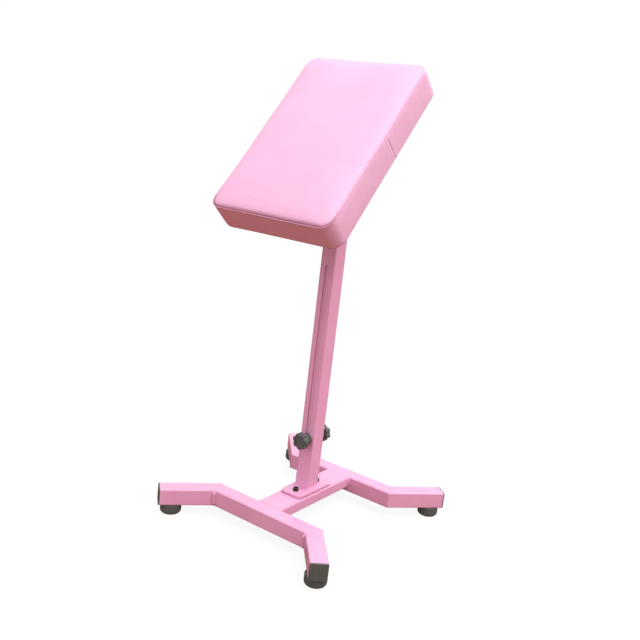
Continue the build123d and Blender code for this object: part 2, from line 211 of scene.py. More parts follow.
def rounded_loop(half_wide, half_high, rounding, corner_points):
    """Points round a rounded rectangle, as pairs of distances from its middle."""
    pairs = []
    for quarter in range(4):
        corner_wide = (half_wide - rounding) * (1 if quarter in (0, 3) else -1)
        corner_high = (half_high - rounding) * (1 if quarter in (0, 1) else -1)
        for bit in range(corner_points):
            turn = math.radians(90 * (quarter + bit / (corner_points - 1)))
            pairs.append((corner_wide + rounding * math.cos(turn), corner_high + rounding * math.sin(turn)))
    return pairs


# Its welds: a dressed seam round each mitre, with a patch up its inner corner and one mostly
# sunk in its outer corner, and fillets where the rail meets the bars
half_tube, tube_rounding = 0.015, 0.0026
bend_x, bend_y = 0.1065, 0.1175
splay = math.radians(41.4)
mitre_half = half_tube / math.cos((math.pi / 2 - splay) / 2)
seam_radius, patch_radius, patch_top, patch_foot = 0.0006, 0.0034, 0.0125, -0.0135
inner_patch_out, outer_patch_out = 0.0010, -0.0030
straight_up = Vector((0, 0, 1))
points, faces = [], []
for sx in (-1, 1):
    for sy in (-1, 1):
        bend = Vector((sx * bend_x, sy * bend_y, base_top_height - half_tube))
        normal = Vector((sx * math.sin(splay) + sx, sy * math.cos(splay), 0)).normalized()
        across = straight_up.cross(normal)
        mitre = [bend + across * out + straight_up * rise
                 for out, rise in rounded_loop(mitre_half, half_tube, tube_rounding, 4)]
        weld_bead(points, faces, mitre, seam_radius, closed=True)
        for side in (-1, 1):
            patch_out = inner_patch_out if across.y * side * sy > 0 else outer_patch_out
            patch = bend + across * side * (mitre_half + patch_out)
            ends = [patch + straight_up * rise for rise in (patch_top, patch_foot)]
            weld_bead(points, faces, ends, patch_radius)
rail_half_width, rail_bottom = 0.025, 0.028
bar_face = bend_y - half_tube
side_x, side_top, side_foot = rail_half_width + 0.0002, base_top_height - 0.0030, rail_bottom + 0.0018
end_x, top_z, under_z = rail_half_width - 0.0005, base_top_height - 0.0013, rail_bottom + 0.0002
for sy in (-1, 1):
    y, top_y = sy * (bar_face - 0.0003), sy * (bar_face + 0.0010)
    for start, end, radius in (((-side_x, y, side_top), (-side_x, y, side_foot), 0.0032),
                               ((side_x, y, side_top), (side_x, y, side_foot), 0.0032),
                               ((-end_x, y, under_z), (end_x, y, under_z), 0.0016),
                               ((-end_x, top_y, top_z), (end_x, top_y, top_z), 0.0017)):
        weld_bead(points, faces, [Vector(start), Vector(end)], radius)
add_piece("base_welds", points, faces, "stand", powder_coat)

# The four end caps: moulded black plastic, pressed into the legs' open ends, with a thin
# flange as wide as the tube. The moulding has a fine spark-eroded texture.
moulded_texture, given, result = start_group(
    "moulded texture", {"Place": "", "Grains per metre": 1800.0},
    {"Height": "NodeSocketFloat", "Shine": "NodeSocketFloat"})
grains = cloudy(moulded_texture, given["Place"], given["Grains per metre"], 3.0, 0.6)
rubbed = cloudy(moulded_texture, given["Place"], 90.0, 4.0)
moulded_texture.links.new(grains, result["Height"])
moulded_texture.links.new(rubbed, result["Shine"])

black_plastic, tree, shader, where = start_finish("black moulded plastic")
grain = use_effect(tree, moulded_texture, {"Place": where, "Grains per metre": 1800.0})
tone = blend_colours(tree, grain["Shine"], (0.064, 0.073, 0.070), (0.098, 0.110, 0.106))
dusty = use_effect(tree, settled_dust, {"Place": where, "Clean colour": tone,
                                        "Dust colour": (0.25, 0.24, 0.23, 1), "Amount": 0.10})
tree.links.new(dusty["Colour"], shader.inputs["Base Color"])
tree.links.new(spread(tree, grain["Shine"], 0.3, 0.7, 0.34, 0.52), shader.inputs["Roughness"])
raise_surface(tree, shader, grain["Height"], 0.00008, 0.7)
finish_pieces(black_plastic, [name + "_end_cap" for name in leg_names])

# The four feet: solid black rubber pucks with a rounded lower edge, matt and a little grey
# from the floor, each held by a screw from below.
scuff_height = 0.006
black_rubber, tree, shader, where = start_finish("matt black rubber")
grain = use_effect(tree, moulded_texture, {"Place": where, "Grains per metre": 900.0})
height = place(tree, "ShaderNodeSeparateXYZ", {0: where}).outputs["Z"]
scuffed = multiplied(tree, spread(tree, height, 0.0, scuff_height, 1.0, 0.0), grain["Shine"])
tone = blend_colours(tree, scuffed, (0.076, 0.086, 0.084), (0.17, 0.17, 0.165))
tree.links.new(tone, shader.inputs["Base Color"])
tree.links.new(spread(tree, grain["Shine"], 0.3, 0.7, 0.58, 0.75), shader.inputs["Roughness"])
raise_surface(tree, shader, grain["Height"], 0.00012, 0.6)
finish_pieces(black_rubber, [name + "_foot" for name in leg_names])

# The screws, washers and welded nuts of the feet and the rail: zinc-plated steel, with the
# faint cloudiness that plating has and fine marks from the tools.
plated, given, result = start_group(
    "plating", {"Place": "", "Marks per metre": 700.0},
    {"Cloud": "NodeSocketFloat", "Marks": "NodeSocketFloat"})


def stretched(tree, where, by):
    """The place that a pattern follows, scaled along each axis."""
    return place(tree, "ShaderNodeVectorMath", {0: where, 1: by}, operation="MULTIPLY").outputs[0]


cloud = cloudy(plated, given["Place"], 160.0, 4.0)
drawn_out = stretched(plated, given["Place"], (1.0, 1.0, 0.12))
marks = cloudy(plated, drawn_out, given["Marks per metre"], 5.0, 0.7)
plated.links.new(cloud, result["Cloud"])
plated.links.new(marks, result["Marks"])


def metal_finish(name, dull, bright, smooth_end, rough_end, metallic=1.0):
    """Plated or turned metal: cloudy colour, and tool marks in its roughness and relief."""
    finish, tree, shader, where = start_finish(name)
    plate = use_effect(tree, plated, {"Place": where, "Marks per metre": 700.0})
    tree.links.new(blend_colours(tree, plate["Cloud"], dull, bright), shader.inputs["Base Color"])
    roughness = spread(tree, plate["Marks"], 0.3, 0.7, smooth_end, rough_end)
    tree.links.new(roughness, shader.inputs["Roughness"])
    shader.inputs["Metallic"].default_value = metallic
    raise_surface(tree, shader, plate["Marks"], 0.00005, 0.5)
    return finish


zinc = metal_finish("zinc plated steel", (0.46, 0.47, 0.50), (0.66, 0.67, 0.68), 0.24, 0.42)
finish_pieces(zinc, ["foot_screws", "foot_washers", "foot_weld_nuts", "rail_weld_nuts"])

# The plate under the mast: 5 mm steel with rounded corners, coated pink with the mast it is
# welded to, and held down by two black cap screws.
finish_pieces(powder_coat, ["mast_plate"])
black_steel = metal_finish("black oxide steel", (0.018, 0.018, 0.020), (0.045, 0.045, 0.048), 0.26, 0.44, 0.6)
finish_pieces(black_steel, ["mast_plate_screws"])

# Painted shade, with a little dust: a thin dark line stays where the plate's lower edge meets the rail
joint_shade_and_dust, tree, shader, where = start_finish("painted shade and dust in the joint")
grain = use_effect(tree, moulded_texture, {"Place": where, "Grains per metre": 900.0})
# Its dark pink colours are painted shade with a little dust
tree.links.new(blend_colours(tree, grain["Shine"], (0.16, 0.035, 0.10), (0.30, 0.09, 0.19)),
               shader.inputs["Base Color"])
tree.links.new(spread(tree, grain["Height"], 0.3, 0.7, 0.7, 0.9), shader.inputs["Roughness"])
plate_half_width, plate_half_length, plate_rounding = 0.0225, 0.0470, 0.0080
line_out, line_height, line_radius = 0.0001, 0.0004, 0.00045
points, faces = [], []
plate_edge = rounded_loop(plate_half_width + line_out, plate_half_length + line_out,
                          plate_rounding + line_out, 6)
joint_line = [Vector((x, y, base_top_height + line_height)) for x, y in plate_edge]
weld_bead(points, faces, joint_line, line_radius, closed=True)
add_piece("plate_joint_line", points, faces, "stand", joint_shade_and_dust)

# The outer mast: 30 mm square tube with a long slot front and rear, welded all round to its
# plate and coated with it. A black plastic guide lines its mouth.
finish_pieces(powder_coat, ["outer_mast"])
finish_pieces(black_plastic, ["mast_top_guide"])
plate_top_height, foot_weld_out, foot_weld_radius = 0.053, 0.0004, 0.0017
points, faces = [], []
mast_edge = rounded_loop(half_tube + foot_weld_out, half_tube + foot_weld_out,
                         tube_rounding + foot_weld_out, 4)
foot_weld = [Vector((x, y, plate_top_height + foot_weld_out)) for x, y in mast_edge]
weld_bead(points, faces, foot_weld, foot_weld_radius, closed=True)
add_piece("mast_foot_weld", points, faces, "stand", powder_coat)

# The sliding mast: a 25 mm tube in the same coat, seen through the slots and above the
# guide, with a plastic glide on its foot, a plug in its top, and the clamps' nuts inside.
finish_pieces(powder_coat, ["inner_mast"])
finish_pieces(black_plastic, ["inner_mast_glide", "inner_mast_top_plug"])
finish_pieces(zinc, ["clamp_weld_nuts"])

# The two clamps: seven-lobed star knobs of black plastic, moulded round zinc-plated M8
# studs, with a wide washer between each hub and the mast.
finish_pieces(black_plastic, ["front_clamp_knob", "rear_clamp_knob"])
finish_pieces(zinc, ["front_clamp_stud", "rear_clamp_stud", "front_clamp_washer", "rear_clamp_washer"])

# The tilt joint: a carriage bolt through a spacer bush in the sliding mast, nylon washers
# that give it friction, and a third star knob with a turned brass insert.
finish_pieces(zinc, ["tilt_bolt", "tilt_bush", "tilt_clamp_washer"])
finish_pieces(black_plastic, ["tilt_knob"])
brass = metal_finish("turned brass", (0.55, 0.36, 0.14), (0.72, 0.52, 0.24), 0.22, 0.38)
finish_pieces(brass, ["tilt_knob_insert"])
nylon, tree, shader, where = start_finish("natural nylon")
grain = use_effect(tree, moulded_texture, {"Place": where, "Grains per metre": 900.0})
tree.links.new(blend_colours(tree, grain["Shine"], (0.72, 0.69, 0.61), (0.80, 0.78, 0.71)),
               shader.inputs["Base Color"])
tree.links.new(spread(tree, grain["Shine"], 0.3, 0.7, 0.35, 0.5), shader.inputs["Roughness"])
shader.inputs["Subsurface Weight"].default_value = 0.15
shader.inputs["Subsurface Radius"].default_value = (0.002, 0.002, 0.0015)
raise_surface(tree, shader, grain["Height"], 0.00005, 0.5)
finish_pieces(nylon, ["tilt_friction_washers"])

# The cushion's bracket: two ears welded to a flat plate and coated pink, held by four black
# screws to tee nuts in the cushion's plywood board.
finish_pieces(powder_coat, ["left_tilt_ear", "right_tilt_ear", "pad_bracket_plate"])
finish_pieces(black_steel, ["pad_screws"])
finish_pieces(zinc, ["pad_tee_nuts"])
pivot = Vector((0, 0, 0.599))
tilt = math.radians(48.4)


def on_cushion(x, along, out):
    """A point by its place across the cushion, up its length, and out from the pivot."""
    return pivot + Vector((x, along * math.cos(tilt) - out * math.sin(tilt),
                           along * math.sin(tilt) + out * math.cos(tilt)))


ear_weld_x, ear_weld_reach, ear_weld_out, ear_weld_radius = 0.0178, 0.027, 0.0510, 0.0019
points, faces = [], []
for x in (-ear_weld_x, ear_weld_x):
    ends = [on_cushion(x, along, ear_weld_out) for along in (-ear_weld_reach, ear_weld_reach)]
    weld_bead(points, faces, ends, ear_weld_radius)
add_piece("ear_welds", points, faces, "cushion_head", powder_coat)

# The board inside the cushion: 12 mm plywood with its plies showing at the edge. The cover
# is drawn round it, and the bracket's tee nuts sit in it.
plywood, tree, shader, where = start_finish("raw plywood")
streaks = cloudy(tree, stretched(tree, where, (1.0, 14.0, 14.0)), 30.0, 5.0)
tree.links.new(blend_colours(tree, streaks, (0.36, 0.22, 0.11), (0.58, 0.41, 0.24)),
               shader.inputs["Base Color"])
shader.inputs["Roughness"].default_value = 0.7
raise_surface(tree, shader, streaks, 0.0002, 0.5)
finish_pieces(plywood, ["pad_board"])

# The cushion's cover: pink leatherette cut as a top panel and a side band, sewn together
# inside out so that only a tight crease and a narrow rolled ridge show. The band is joined
# on the right side, and its lower edge turns under the board as a hem.
half_width, half_length, plan_rounding = 0.116, 0.1675, 0.021
under_height, ridge_height, crown_height = 0.0555, 0.1072, 0.1135
band_join = 0.016
columns_long, columns_short = 110, 76


def side_shares(columns):
    """Even shares along one side, from the middle of one corner to the middle of the next."""
    return [2 * i / columns - 1 for i in range(columns + 1)]


# The long sides have closer columns at the band's join, for its groove and turned edges
long_run = half_length - plan_rounding + plan_rounding * math.pi / 4
join_columns = [band_join + offset for offset in (-0.0024, -0.0009, 0.0, 0.0009, 0.0024)]
join_clearance = 0.0032
long_shares = [share for share in side_shares(columns_long)
               if abs(share * long_run - band_join) > join_clearance]
long_shares = sorted(long_shares + [spot / long_run for spot in join_columns])
short_shares = side_shares(columns_short)


def side_spot(half_across, half_along, rounding, share):
    """Where a share falls on one side of a rounded rectangle: out from the middle, and along it."""
    run = half_along - rounding + rounding * math.pi / 4
    travel = abs(share) * run
    if travel <= half_along - rounding:
        return half_across, share * run
    turn = (travel - half_along + rounding) / rounding
    return (half_across - rounding + rounding * math.cos(turn),
            math.copysign(half_along - rounding + rounding * math.sin(turn), share))


def ring_rounding(inset):
    """The corner radius at an inset: less by the inset over the first 4 mm, then more again."""
    tightens_over, then_opens_by = 0.004, 0.9
    return plan_rounding - min(inset, tightens_over) + then_opens_by * max(0.0, inset - tightens_over)


def outline_ring(inset):
    """One loop of the cushion's outline, set in from its sides, as (x, along) pairs."""
    across, along, rounding = half_width - inset, half_length - inset, ring_rounding(inset)
    right = [side_spot(across, along, rounding, share) for share in long_shares]
    top = [side_spot(along, across, rounding, share)[::-1] for share in short_shares]
    return right[:-1] + top[:0:-1] + [(-x, y) for x, y in right[:0:-1]] + [(x, -y) for x, y in top[:-1]]


def fill_inside(ring):
    """A grid of points that fills a loop, as (x, along) pairs in rows from the low end up."""
    n_long, n_short = len(long_shares) - 1, len(short_shares) - 1
    right = ring[:n_long + 1]
    top = ring[n_long:n_long + n_short + 1][::-1]
    left = ring[n_long + n_short:2 * n_long + n_short + 1][::-1]
    bottom = ring[2 * n_long + n_short:] + ring[:1]
    rows = []
    for j in range(n_long + 1):
        v = (long_shares[j] + 1) / 2
        row = []
        for i in range(n_short + 1):
            u = (short_shares[i] + 1) / 2
            spot = []
            for k in (0, 1):
                spot.append((1 - v) * bottom[i][k] + v * top[i][k] + (1 - u) * left[j][k] + u * right[j][k]
                            - (1 - u) * (1 - v) * bottom[0][k] - u * (1 - v) * bottom[-1][k]
                            - (1 - u) * v * top[0][k] - u * v * top[-1][k])
            row.append(tuple(spot))
        rows.append(row)
    return rows


def closed_form(profile, top_out, under_out):
    """Loops that follow a profile round the cushion, closed by a grid above and one below."""
    spots, cells = [], []
    rings = [outline_ring(inset) for inset, out in profile]
    count = len(rings[0])
    for ring, (inset, out) in zip(rings, profile):
        spots += [(x, along, out) for x, along in ring]
    for r in range(len(profile) - 1):
        cells += [(r * count + k, r * count + (k + 1) % count, (r + 1) * count + (k + 1) % count,
                   (r + 1) * count + k) for k in range(count)]
    n_long, n_short = len(long_shares) - 1, len(short_shares) - 1
    grids = ((len(profile) - 1, rings[-1], top_out, True), (0, rings[0], under_out, False))
    for level, ring, out, upward in grids:
        rows = fill_inside(ring)
        number = {}
        for j in range(n_long + 1):
            number[n_short, j] = level * count + j
            number[0, j] = level * count + (n_long + n_short + n_long - j) % count
        for i in range(n_short + 1):
            number[i, n_long] = level * count + n_long + n_short - i
            number[i, 0] = level * count + (2 * n_long + n_short + i) % count
        for j in range(1, n_long):
            for i in range(1, n_short):
                number[i, j] = len(spots)
                spots.append((*rows[j][i], out))
        for j in range(n_long):
            for i in range(n_short):
                cell = (number[i, j], number[i + 1, j], number[i + 1, j + 1], number[i, j + 1])
                cells.append(cell if upward else cell[::-1])
    return spots, cells


# The stuffing's push is found on a plain closed form, held at the seam and under the board
push_share, most_push = 0.35, 0.005
swell = None
band_inset, plain_crown, last_frame = 0.0006, 0.1132, 20
board_edge_out, seam_rise, seam_reach = 0.0585, 0.0045, 0.006
plain = [(0.030, under_height), (0.012, under_height), (0.003, under_height + 0.0005),
         (band_inset, under_height + 0.004), (band_inset, 0.070), (band_inset, 0.085),
         (band_inset, 0.099), (0.0008, ridge_height - 0.001), (0.004, 0.1085), (0.010, 0.1105),
         (0.018, 0.1122), (0.028, 0.1130)]
spots, plain_cells = closed_form(plain, plain_crown, under_height)
mesh = bpy.data.meshes.new("stuffing form")
mesh.from_pydata(spots, [], plain_cells)
form = bpy.data.objects.new("stuffing form", mesh)
bpy.context.collection.objects.link(form)
bpy.context.view_layer.objects.active = form
voxels = form.modifiers.new("even mesh", "REMESH")
voxels.mode, voxels.voxel_size = "VOXEL", 0.005
bpy.ops.object.modifier_apply(modifier=voxels.name)
held = form.vertex_groups.new(name="held")
for vertex in form.data.vertices:
    x, along, out = vertex.co
    edge = min(half_width - abs(x), half_length - abs(along))
    at_seam = abs(out - ridge_height) < seam_rise and edge < seam_reach
    if out < board_edge_out or at_seam:
        held.add([vertex.index], 1.0, "REPLACE")
before = [vertex.co.copy() for vertex in form.data.vertices]
cloth = form.modifiers.new("stuffing", "CLOTH")
cloth.settings.vertex_group_mass = "held"
cloth.settings.quality = 6
cloth.settings.mass = 0.25
cloth.settings.use_pressure = True
cloth.settings.uniform_pressure_force = 4.0
cloth.settings.tension_stiffness = cloth.settings.compression_stiffness = 25
cloth.settings.shear_stiffness = 8
cloth.settings.bending_stiffness = 0.6
cloth.settings.effector_weights.gravity = 0.0
cloth.point_cache.frame_start, cloth.point_cache.frame_end = 1, last_frame
for frame_number in range(1, last_frame + 1):
    bpy.context.scene.frame_set(frame_number)
settled = form.evaluated_get(bpy.context.evaluated_depsgraph_get()).data
pushes = [settled.vertices[i].co - start for i, start in enumerate(before)]
swell = kdtree.KDTree(len(before))
for i, start in enumerate(before):
    swell.insert(start, i)
swell.balance()
bpy.context.scene.frame_set(1)
bpy.data.objects.remove(form)


def stuffing_push(spot):
    """How far the stuffing moves the cover at a place, averaged over its neighbours."""
    neighbours, softening = 10, 0.004
    if swell is None:
        return Vector((0, 0, 0))
    total, weight = Vector((0, 0, 0)), 0.0
    for start, i, distance in swell.find_n(spot, neighbours):
        pull = 1.0 / (softening + distance) ** 2
        total += pushes[i] * pull
        weight += pull
    push = total / weight * push_share
    return push * (min(push.length, most_push) / push.length) if push.length else push


# The real section of the cover, as pairs of how far in from the side and how far out
hem = [(0.0300, 0.0556), (0.0250, 0.0555), (0.0180, 0.0554), (0.0110, 0.0555), (0.0060, 0.0556)]
lower_edge = [(0.0035, 0.0559), (0.0018, 0.0568), (0.0009, 0.0582), (0.0005, 0.0600)]
band = [(0.0004, out) for out in (0.0640, 0.0700, 0.0760, 0.0820, 0.0880, 0.0930, 0.0970, 0.1000, 0.1022)]
ridge = [(0.0005, 0.1040), (0.0006, 0.1050), (0.0002, 0.1055), (-0.0003, 0.1061), (-0.0005, 0.1066),
         (-0.0004, 0.1071), (0.0001, 0.1072), (0.0007, 0.1065)]
fold = [(0.0015, 0.1054), (0.0024, 0.1053), (0.0031, 0.1066)]
panel = [(0.0041, 0.1082), (0.0052, 0.1096), (0.0075, 0.1106), (0.0105, 0.1115), (0.0140, 0.1122),
         (0.0180, 0.1128), (0.0230, 0.1132), (0.0280, 0.1135)]
section = hem + lower_edge + band + ridge + fold + panel
# Where the seam is pulled less tight, the panel rolls over into the band with hardly a crease
soft_seam = hem + lower_edge + band[:-2] + [
    (0.0006, 0.0999), (0.0009, 0.1018), (0.0014, 0.1034), (0.0018, 0.1044), (0.0021, 0.1051),
    (0.0024, 0.1057), (0.0027, 0.1063), (0.0031, 0.1068), (0.0035, 0.1071), (0.0039, 0.1073),
    (0.0043, 0.10755), (0.0047, 0.1078), (0.0053, 0.1083), (0.0063, 0.10895), (0.0078, 0.10975),
    (0.0099, 0.11065), (0.0127, 0.1115), (0.0160, 0.1122), (0.0196, 0.1128), (0.0240, 0.1132),
    (0.0280, 0.1135)]
panel_starts, panel_above = 0.0012, ridge_height - 0.0004


def as_share(value):
    """A value kept between 0 and 1."""
    return min(1.0, max(0.0, value))


def panel_rise(x, along, edge):
    """Small gathers run in from the seam, deeper at the corners, and the panel is never quite even."""
    gather_depth, more_at_corners, unevenness, texture = 0.0002, 0.0006, 0.0007, 0.0002
    corner_reach, corner_size = 0.05, 0.07
    full_from, runs_out_over, fades_in_over = 0.002, 0.008, 0.003
    uneven_from, texture_from = 0.03, 0.01
    corner = math.hypot(max(abs(x) - half_width + corner_reach, 0),
                        max(abs(along) - half_length + corner_reach, 0)) / corner_size
    gather = gather_depth + more_at_corners * min(1.0, corner) ** 3
    gather *= math.exp(-max(edge - full_from, 0) / runs_out_over)
    gather *= min(1.0, (edge - panel_starts) / fades_in_over)
    return (gather * noise.noise(Vector((x * 110, along * 110, 3.0)))
            + unevenness * min(1.0, edge / uneven_from) * noise.noise(Vector((x * 11, along * 11, 7.0)))
            + texture * min(1.0, edge / texture_from) * noise.noise(Vector((x * 40, along * 40, 11.0))))


def band_pull(x, along, out, middle):
    """How far in the band lies: pulled in between its corners, with a few long soft waves."""
    waist, wave_depth = 0.0006, 0.0007
    drop = math.sin(math.pi * (out - under_height) / (ridge_height - under_height))
    wave = noise.noise(Vector((x * 25 + along * 12, along * 25 - x * 12, out * 20 + 0.4)))
    return drop * (waist * middle + wave_depth * wave)


def seam_pull(x, along, out, edge, sag):
    """How far in the seam wanders: the far edge sags, and the long edges are not quite straight."""
    wander_depth, starts_at, full_over, runs_in = 0.0010, 0.075, 0.030, 0.03
    lift = as_share((out - starts_at) / full_over) * math.exp(-max(edge, 0) / runs_in)
    wander = noise.noise(Vector((x * 9 + along * 6, along * 12 - x * 5, 2.3)))
    return lift * (sag + wander_depth * wander)


def low_corner_shift(x, along):
    """The two low corners are not alike: the left one is filled out, the right one is rounder."""
    filled_out, rounder, reach = 0.0010, -0.0008, 0.050
    nearness = math.exp(-(math.hypot(half_width - abs(x), half_length + along) / reach) ** 2)
    shift = nearness * (filled_out if x < 0 else rounder)
    return Vector((math.copysign(shift, x), -shift, 0))


def join_relief(along, out):
    """The join in the band: two turned edges pulled tight into one groove."""
    groove_depth, groove_width, groove_top, groove_fade = 0.0011, 0.0008, 0.1025, 0.008
    edge_rise, edge_width, edge_offset = 0.0004, 0.0016, 0.0028
    beside = abs(along - band_join)
    groove = math.exp(-(beside / groove_width) ** 2) * as_share((groove_top - out) / groove_fade)
    return edge_rise * math.exp(-((beside - edge_offset) / edge_width) ** 2) - groove_depth * groove


lining_height = under_height + 0.0014
stuffed_above, band_starts, band_ends = under_height + 0.003, under_height + 0.0035, 0.1045
join_starts, join_ends, join_reach = under_height + 0.002, 0.1052, 0.004
low_end_starts, low_end_fade, slack_at_low_end, slack_elsewhere = -0.100, 0.050, 0.10, 0.70
far_sag = 0.0022
tight_form, cells = closed_form(section, crown_height, lining_height)
loose_form = closed_form(soft_seam, crown_height, lining_height)[0]
stuffed_points = []
for tight_spot, loose_spot in zip(tight_form, loose_form):
    low_end = as_share((low_end_starts - tight_spot[1]) / low_end_fade)
    slack = slack_elsewhere * (1 - low_end) + slack_at_low_end * low_end
    spot = Vector(tight_spot).lerp(Vector(loose_spot), slack)
    x, along, out = spot
    edge = min(half_width - abs(x), half_length - abs(along))
    if half_width - abs(x) < half_length - abs(along):
        away, middle, sag = Vector((math.copysign(1, x), 0, 0)), max(0.0, 1 - (along / half_length) ** 2), 0.0
    else:
        away, middle = Vector((0, math.copysign(1, along), 0)), max(0.0, 1 - (x / half_width) ** 2)
        sag = far_sag * middle if along > 0 else 0.0
    moved = spot + stuffing_push(spot) if out > stuffed_above else spot
    if out > panel_above and edge > panel_starts:
        moved.z += panel_rise(x, along, edge)
    elif band_starts < out < band_ends:
        moved -= away * band_pull(x, along, out, middle)
    moved += low_corner_shift(x, along) - away * seam_pull(x, along, out, edge, sag)
    if x > half_width - join_reach and join_starts < out < join_ends:
        moved.x += join_relief(along, out)
    stuffed_points.append(moved)
cover_points = [on_cushion(*spot) for spot in stuffed_points]

# Painted shade in the crease: darkest in the fold, lighter in a thin line under the ridge, and strong only at
# the low end where the seam is tight
ridge_shades, fold_shades = [0.12, 0.35, 0.25, 0.0, 0.0, 0.0, 0.0, 0.25], [1.0, 1.0, 0.35]
ring_shades = [0.0] * len(hem + lower_edge + band) + ridge_shades + fold_shades + [0.0] * len(panel)
tight_starts, tight_fade, least_shade = -0.125, 0.025, 0.15
ring_size = len(outline_ring(0.0))
crease_painted_shade = []
for i, (x, along, out) in enumerate(stuffed_points):
    tightness = least_shade + (1 - least_shade) * as_share((tight_starts - along) / tight_fade)
    crease_painted_shade.append(tightness * ring_shades[i // ring_size] if i < ring_size * len(section) else 0.0)

leather_grain, given, result = start_group(
    "leather grain", {"Place": "", "Cells per metre": 800.0},
    {"Height": "NodeSocketFloat", "Valleys": "NodeSocketFloat"})
bent_by = place(leather_grain, "ShaderNodeTexNoise",
                {"Vector": given["Place"], "Scale": 320.0, "Detail": 3.0}).outputs["Color"]
bent = place(leather_grain, "ShaderNodeVectorMath",
             {0: bent_by, 1: (0.0016, 0.0016, 0.0016), 2: given["Place"]}, operation="MULTIPLY_ADD")
pebbles = place(leather_grain, "ShaderNodeTexVoronoi",
                {"Vector": bent.outputs[0], "Scale": given["Cells per metre"]},
                feature="DISTANCE_TO_EDGE").outputs[0]
valleys = spread(leather_grain, pebbles, 0.0, 0.16, 1.0, 0.0)
mounds = spread(leather_grain, pebbles, 0.0, 0.22, 0.0, 0.75)
pores = cloudy(leather_grain, given["Place"], 2600.0, 2.0)
relief = place(leather_grain, "ShaderNodeMath", {0: pores, 1: 0.25, 2: mounds}, operation="MULTIPLY_ADD")
leather_grain.links.new(relief.outputs[0], result["Height"])
leather_grain.links.new(valleys, result["Valleys"])

leatherette, tree, shader, where = start_finish("pink leatherette")
grain = use_effect(tree, leather_grain, {"Place": where, "Cells per metre": 850.0})
tint = blend_colours(tree, spread(tree, cloudy(tree, where, 9.0, 3.0), 0.3, 0.7, 0.0, 1.0),
                     (0.74, 0.385, 0.570), (0.785, 0.425, 0.620))
tint = blend_colours(tree, spread(tree, grain["Valleys"], 0.0, 1.0, 0.0, 0.35), tint, (0.66, 0.29, 0.46))
# The dark colour laid over the leatherette along the crease is painted shade
crease_shade_share = place(tree, "ShaderNodeAttribute", attribute_name="crease_painted_shade").outputs["Fac"]
tint = blend_colours(tree, crease_shade_share, tint, (0.28, 0.065, 0.12))
tree.links.new(tint, shader.inputs["Base Color"])
tree.links.new(spread(tree, grain["Valleys"], 0.0, 1.0, 0.40, 0.58), shader.inputs["Roughness"])
shader.inputs["Coat Weight"].default_value = 0.15
shader.inputs["Coat Roughness"].default_value = 0.30
raise_surface(tree, shader, grain["Height"], 0.00016, 0.7)
cover = add_piece("cushion_cover", cover_points, cells, "cushion_head", leatherette)
# The attribute holds how much painted shade each point along the crease gets
cover.data.attributes.new("crease_painted_shade", "FLOAT", "POINT").data.foreach_set("value", crease_painted_shade)
finer = cover.modifiers.new("finer", "SUBSURF")
finer.levels = finer.render_levels = 1
bpy.context.view_layer.objects.active = cover
bpy.ops.object.modifier_apply(modifier=finer.name)
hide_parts("pad_top_panel", "pad_side_band")

# The foam block under the cover: open-cell foam cut to stand on the board, which swells and
# rounds off with the cover that holds it.
foam, tree, shader, where = start_finish("cut foam")
cells_of_foam = place(tree, "ShaderNodeTexVoronoi", {"Vector": where, "Scale": 700.0}).outputs[0]
tree.links.new(blend_colours(tree, cells_of_foam, (0.62, 0.55, 0.30), (0.80, 0.75, 0.50)),
               shader.inputs["Base Color"])
shader.inputs["Roughness"].default_value = 0.95
raise_surface(tree, shader, cells_of_foam, 0.0004, 0.8)
foam_inset, board_top, least_above_board = 0.0024, under_height + 0.0135, 0.0003
block_points = []
for x, along, out in stuffed_points:
    block_out = max(out - foam_inset, board_top + least_above_board)
    block_points.append(on_cushion(x * (1 - foam_inset / half_width), along * (1 - foam_inset / half_length),
                                   block_out))
block = add_piece("foam_block", block_points, cells, "cushion_head", foam)
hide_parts("pad_foam")

# The dust cloth under the cushion: black non-woven fabric with a pressed dot pattern, its
# edges folded under and stapled over the hem, and pinched flat by the bracket's plate.
cloth_half_width, cloth_half_length = 0.097, 0.1485
hem_width = hem[0][0]
hem_rounding = ring_rounding(hem_width)
hem_slope_starts, hem_slope = -0.010, 0.008
bracket_half_width, bracket_half_length, bracket_fade = 0.042, 0.055, 0.02
cloth_out, drop_on_hem, drop_off_bracket, wave_height = 0.0560, 0.0014, 0.0002, 0.0004
pleat_depth, pleat_spacing = 0.00035, 0.030
across_count, along_count = 60, 90
points, faces = [], []
for j in range(along_count + 1):
    for i in range(across_count + 1):
        x = cloth_half_width * (2 * i / across_count - 1)
        along = cloth_half_length * (2 * j / along_count - 1)
        past_hem = math.hypot(max(0.0, abs(x) - half_width + hem_width + hem_rounding),
                              max(0.0, abs(along) - half_length + hem_width + hem_rounding)) - hem_rounding
        over_hem = as_share((past_hem - hem_slope_starts) / hem_slope)
        past_bracket = max(abs(x) - bracket_half_width, abs(along) - bracket_half_length)
        off_bracket = as_share(past_bracket / bracket_fade)
        wave = noise.noise(Vector((x * 30, along * 30, 5.0))) * wave_height * off_bracket * (1 - over_hem)
        pleat = pleat_depth * over_hem * abs(math.sin((x + along) * math.pi / pleat_spacing))
        out = cloth_out - drop_on_hem * over_hem - drop_off_bracket * off_bracket + wave - pleat
        points.append(on_cushion(x, along, out))
for j in range(along_count):
    for i in range(across_count):
        a = j * (across_count + 1) + i
        faces.append((a, a + across_count + 1, a + across_count + 2, a + 1))
dust_fabric, tree, shader, where = start_finish("black dust fabric")
dots = place(tree, "ShaderNodeTexVoronoi", {"Vector": where, "Scale": 620.0, "Randomness": 0.25})
pressed = spread(tree, dots.outputs[0], 0.18, 0.42, 0.0, 1.0)
fibres = cloudy(tree, where, 2400.0, 4.0)
tone = blend_colours(tree, fibres, (0.010, 0.010, 0.011), (0.045, 0.045, 0.047))
